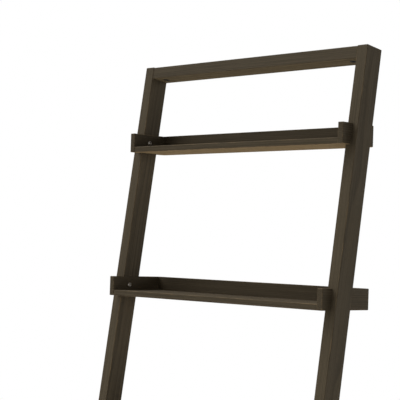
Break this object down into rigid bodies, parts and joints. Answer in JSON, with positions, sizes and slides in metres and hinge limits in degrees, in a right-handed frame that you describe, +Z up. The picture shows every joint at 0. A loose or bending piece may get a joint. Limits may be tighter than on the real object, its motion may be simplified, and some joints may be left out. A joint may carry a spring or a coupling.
{
  "type": "leaning ladder shelf rack",
  "caption": "Dark stained wooden ladder rack that leans on a wall, with rimmed trays that deepen towards the floor and screw-adjustable feet.",
  "frame": {"origin": "on the floor, midway between the rails and midway between the rails' front feet and the wall's plane", "axes": "+X to the right seen from the front, +Y back towards the wall, +Z up"},
  "size_m": [0.64, 0.3086, 1.8],
  "materials": {
    "rail_wood": "satin dark espresso stain over close-grained hardwood",
    "crossbar_wood": "satin dark espresso stain over close-grained hardwood",
    "tray_floor_wood": "satin dark espresso stain over veneered board",
    "tray_rim_wood": "satin dark espresso stain over close-grained hardwood",
    "pale_wood": "plain unfinished beech",
    "bolt_steel": "satin plated steel",
    "zinc": "grey zinc plate",
    "dark_zinc": "dark passivated zinc",
    "brass": "plain brass",
    "black_plastic": "matt",
    "rubber": "matt"
  },
  "bodies": {
    "frame": {"left_rail": "rail_wood", "right_rail": "rail_wood", "top_crossbar": "crossbar_wood", "crossbar_cams": "dark_zinc", "crossbar_cam_bolts": "zinc", "crossbar_dowels": "pale_wood", "tray_1_floor": "tray_floor_wood", "tray_1_left_side": "tray_rim_wood", "tray_1_right_side": "tray_rim_wood", "tray_1_back": "tray_rim_wood", "tray_2_floor": "tray_floor_wood", "tray_2_left_side": "tray_rim_wood", "tray_2_right_side": "tray_rim_wood", "tray_2_back": "tray_rim_wood", "tray_3_floor": "tray_floor_wood", "tray_3_left_side": "tray_rim_wood", "tray_3_right_side": "tray_rim_wood", "tray_3_back": "tray_rim_wood", "tray_4_floor": "tray_floor_wood", "tray_4_left_side": "tray_rim_wood", "tray_4_right_side": "tray_rim_wood", "tray_4_back": "tray_rim_wood", "tray_5_floor": "tray_floor_wood", "tray_5_left_side": "tray_rim_wood", "tray_5_right_side": "tray_rim_wood", "tray_5_back": "tray_rim_wood", "tray_bolts": "bolt_steel", "rail_inserts": "brass", "tray_dowels": "pale_wood", "floor_screws": "zinc", "wall_bumpers": "rubber", "hanger_plates": "zinc", "hanger_screws": "zinc", "foot_inserts": "brass"},
    "left_foot": {"left_foot_pad": "black_plastic", "left_foot_sole": "rubber"},
    "left_stem": {"left_foot_stem": "bolt_steel"},
    "right_foot": {"right_foot_pad": "black_plastic", "right_foot_sole": "rubber"},
    "right_stem": {"right_foot_stem": "bolt_steel"}
  },
  "joints": [
    {"name": "left_foot_height", "type": "slide", "parent": "frame", "child": "left_foot", "axis": [0, 0, 1], "range_m": [-0.01, 0.003]},
    {"name": "left_stem_turn", "type": "hinge", "parent": "left_foot", "child": "left_stem", "pos_m": [-0.3075, -0.13161, 0.012], "axis": [0, 0, 1], "range_deg": [-3601, 1081]},
    {"name": "right_foot_height", "type": "slide", "parent": "frame", "child": "right_foot", "axis": [0, 0, 1], "range_m": [-0.01, 0.003]},
    {"name": "right_stem_turn", "type": "hinge", "parent": "right_foot", "child": "right_stem", "pos_m": [0.3075, -0.13161, 0.012], "axis": [0, 0, 1], "range_deg": [-3601, 1081]}
  ],
  "couplings": [
    {"joint": "left_stem_turn", "follows": "left_foot_height", "rad_per_m": 6283.2},
    {"joint": "right_stem_turn", "follows": "right_foot_height", "rad_per_m": 6283.2}
  ]
}
